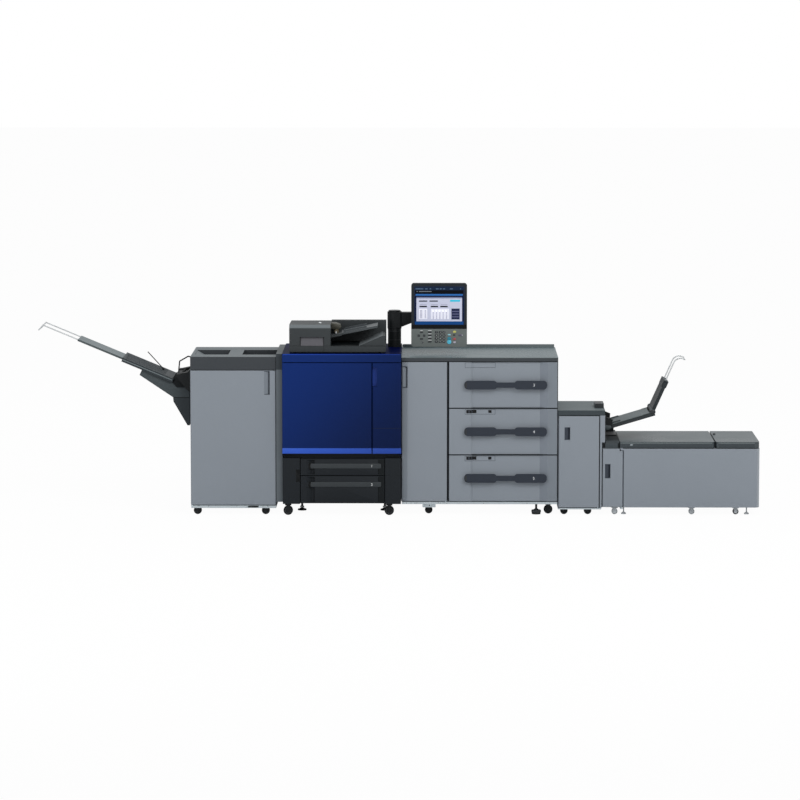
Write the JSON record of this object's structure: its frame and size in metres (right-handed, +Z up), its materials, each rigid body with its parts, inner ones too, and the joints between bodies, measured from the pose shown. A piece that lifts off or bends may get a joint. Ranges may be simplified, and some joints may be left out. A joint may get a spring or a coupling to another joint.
{
  "type": "digital production printer",
  "caption": "Floor-standing digital production printer line with a print engine, document feeder, swivel control panel, finisher with stack tray, paper feeder, bypass and banner feeders.",
  "frame": {"origin": "centre of the bounding box on the floor", "axes": "+X along the line from the stack tray to the banner feeder, -Y the operator side, +Z up"},
  "size_m": [4.6344, 0.754, 1.47],
  "materials": {
    "panel_grey": "powder coat, light texture",
    "band_dark": "fine moulded grain",
    "top_grey": "fine moulded grain",
    "zinc": "zinc sheet",
    "caster_black": "moulded tyre on a black fork",
    "caster_light": "moulded grey nylon",
    "black_plastic": "fine moulded grain",
    "navy": "metallic satin lacquer",
    "strip_blue": "metallic satin lacquer",
    "lower_black": "fine moulded grain",
    "tray_dark": "ribbed moulded plastic",
    "extension_grey": "smooth moulded plastic",
    "wire_steel": "bright drawn wire",
    "platen": "clear float glass",
    "adf_dark": "fine moulded grain",
    "bezel_dark": "fine moulded grain",
    "screen": "lit display under clear cover",
    "keypad_grey": "fine moulded grain",
    "worktop_grey": "fine moulded grain",
    "bay_grey": "satin coat",
    "grip_dark": "soft satin grain"
  },
  "bodies": {
    "root": {"finisher_housing": "panel_grey", "finisher_top": "band_dark", "finisher_base": "zinc", "finisher_casters": "caster_black", "exit_frame": "black_plastic", "exit_guard": "black_plastic", "relay_column": "panel_grey", "relay_top": "band_dark", "engine_housing": "navy", "engine_top": "navy", "engine_sill": "navy", "engine_lower_body": "lower_black", "engine_casters": "caster_black", "platen_glass": "platen", "panel_post": "black_plastic", "feeder_cabinet": "panel_grey", "drawer_bay": "bay_grey", "worktop": "worktop_grey", "feeder_base": "zinc", "feeder_casters": "caster_black", "bypass_cabinet": "panel_grey", "bypass_base": "zinc", "bypass_top": "band_dark", "bypass_bracket": "black_plastic", "bypass_casters": "caster_black", "banner_housing": "panel_grey", "banner_base": "zinc", "transport_section": "band_dark", "banner_casters": "caster_light"},
    "finisher_door": {"finisher_door": "panel_grey"},
    "stack_tray": {"stack_tray": "tray_dark", "paper_lever": "black_plastic"},
    "tray_extension": {"tray_extension": "extension_grey"},
    "tray_bail": {"tray_bail": "wire_steel"},
    "engine_left_door": {"engine_left_door": "navy"},
    "engine_right_door": {"engine_right_door": "navy"},
    "paper_tray_1": {"paper_tray_1": "lower_black"},
    "paper_tray_2": {"paper_tray_2": "lower_black"},
    "document_feeder": {"document_feeder": "adf_dark", "document_tray": "top_grey"},
    "panel_arm": {"panel_arm": "black_plastic"},
    "control_panel": {"control_panel": "bezel_dark", "panel_screen": "screen", "panel_keypad": "keypad_grey"},
    "feeder_door": {"feeder_door": "panel_grey"},
    "paper_drawer_3": {"paper_drawer_3": "panel_grey", "drawer_grip_3": "grip_dark"},
    "paper_drawer_4": {"paper_drawer_4": "panel_grey", "drawer_grip_4": "grip_dark"},
    "paper_drawer_5": {"paper_drawer_5": "panel_grey", "drawer_grip_5": "grip_dark"},
    "bypass_door": {"bypass_door": "panel_grey"},
    "bypass_tray": {"bypass_tray": "tray_dark"},
    "bypass_upper": {"bypass_upper": "tray_dark"},
    "bypass_guide": {"bypass_guide": "wire_steel"},
    "banner_door": {"banner_door": "panel_grey"},
    "banner_lid_left": {"banner_lid_left": "top_grey"},
    "banner_lid_right": {"banner_lid_right": "top_grey"}
  },
  "joints": [
    {"name": "finisher_door_hinge", "type": "hinge", "parent": "root", "child": "finisher_door", "pos_m": [-1.31683, -0.319, 0.5], "axis": [0, 0, -1], "range_deg": [0, 110]},
    {"name": "stack_tray_lift", "type": "slide", "parent": "root", "child": "stack_tray", "axis": [0, 0, -1], "range_m": [0, 0.35]},
    {"name": "tray_extension_slide", "type": "slide", "parent": "stack_tray", "child": "tray_extension", "axis": [0.9232, 0, -0.3843], "range_m": [0, 0.195]},
    {"name": "tray_bail_slide", "type": "slide", "parent": "tray_extension", "child": "tray_bail", "axis": [0.9232, 0, -0.3843], "range_m": [0, 0.18]},
    {"name": "engine_left_door_hinge", "type": "hinge", "parent": "root", "child": "engine_left_door", "pos_m": [-0.72783, -0.369, 0.7], "axis": [0, 0, -1], "range_deg": [0, 90]},
    {"name": "engine_right_door_hinge", "type": "hinge", "parent": "root", "child": "engine_right_door", "pos_m": [0.01617, -0.369, 0.7], "axis": [0, 0, 1], "range_deg": [0, 90]},
    {"name": "paper_tray_1_slide", "type": "slide", "parent": "root", "child": "paper_tray_1", "axis": [0, -1, 0], "range_m": [0, 0.42]},
    {"name": "paper_tray_2_slide", "type": "slide", "parent": "root", "child": "paper_tray_2", "axis": [0, -1, 0], "range_m": [0, 0.42]},
    {"name": "document_feeder_hinge", "type": "hinge", "parent": "root", "child": "document_feeder", "pos_m": [-0.35583, 0.095, 1.064], "axis": [-1, 0, 0], "range_deg": [0, 60]},
    {"name": "panel_arm_swivel", "type": "hinge", "parent": "root", "child": "panel_arm", "pos_m": [-0.02383, 0.123, 1.2], "axis": [0, 0, -1], "range_deg": [-20, 35]},
    {"name": "control_panel_tilt", "type": "hinge", "parent": "panel_arm", "child": "control_panel", "pos_m": [0.26567, 0.003, 1.231], "axis": [-1, 0, 0], "range_deg": [-15, 20]},
    {"name": "feeder_door_hinge", "type": "hinge", "parent": "root", "child": "feeder_door", "pos_m": [0.30917, -0.319, 0.5], "axis": [0, 0, 1], "range_deg": [0, 90]},
    {"name": "paper_drawer_3_slide", "type": "slide", "parent": "root", "child": "paper_drawer_3", "axis": [0, -1, 0], "range_m": [0, 0.5]},
    {"name": "paper_drawer_4_slide", "type": "slide", "parent": "root", "child": "paper_drawer_4", "axis": [0, -1, 0], "range_m": [0, 0.5]},
    {"name": "paper_drawer_5_slide", "type": "slide", "parent": "root", "child": "paper_drawer_5", "axis": [0, -1, 0], "range_m": [0, 0.5]},
    {"name": "bypass_door_hinge", "type": "hinge", "parent": "root", "child": "bypass_door", "pos_m": [1.28317, -0.319, 0.3], "axis": [0, 0, 1], "range_deg": [0, 90]},
    {"name": "bypass_tray_fold", "type": "hinge", "parent": "root", "child": "bypass_tray", "pos_m": [1.35717, -0.022, 0.552], "axis": [0, -1, 0], "range_deg": [0, 70]},
    {"name": "bypass_elbow", "type": "hinge", "parent": "bypass_tray", "child": "bypass_upper", "pos_m": [1.63875, -0.022, 0.65055], "axis": [0, 1, 0], "range_deg": [0, 50]},
    {"name": "bypass_guide_slide", "type": "slide", "parent": "bypass_upper", "child": "bypass_guide", "axis": [-0.4067, 0, -0.9135], "range_m": [0, 0.09]},
    {"name": "banner_door_hinge", "type": "hinge", "parent": "root", "child": "banner_door", "pos_m": [1.43517, -0.319, 0.25], "axis": [0, 0, 1], "range_deg": [0, 90]},
    {"name": "banner_lid_left_hinge", "type": "hinge", "parent": "root", "child": "banner_lid_left", "pos_m": [1.52317, 0.253, 0.443], "axis": [-1, 0, 0], "range_deg": [0, 9]},
    {"name": "banner_lid_right_hinge", "type": "hinge", "parent": "root", "child": "banner_lid_right", "pos_m": [2.09617, 0.253, 0.443], "axis": [-1, 0, 0], "range_deg": [0, 60]}
  ]
}
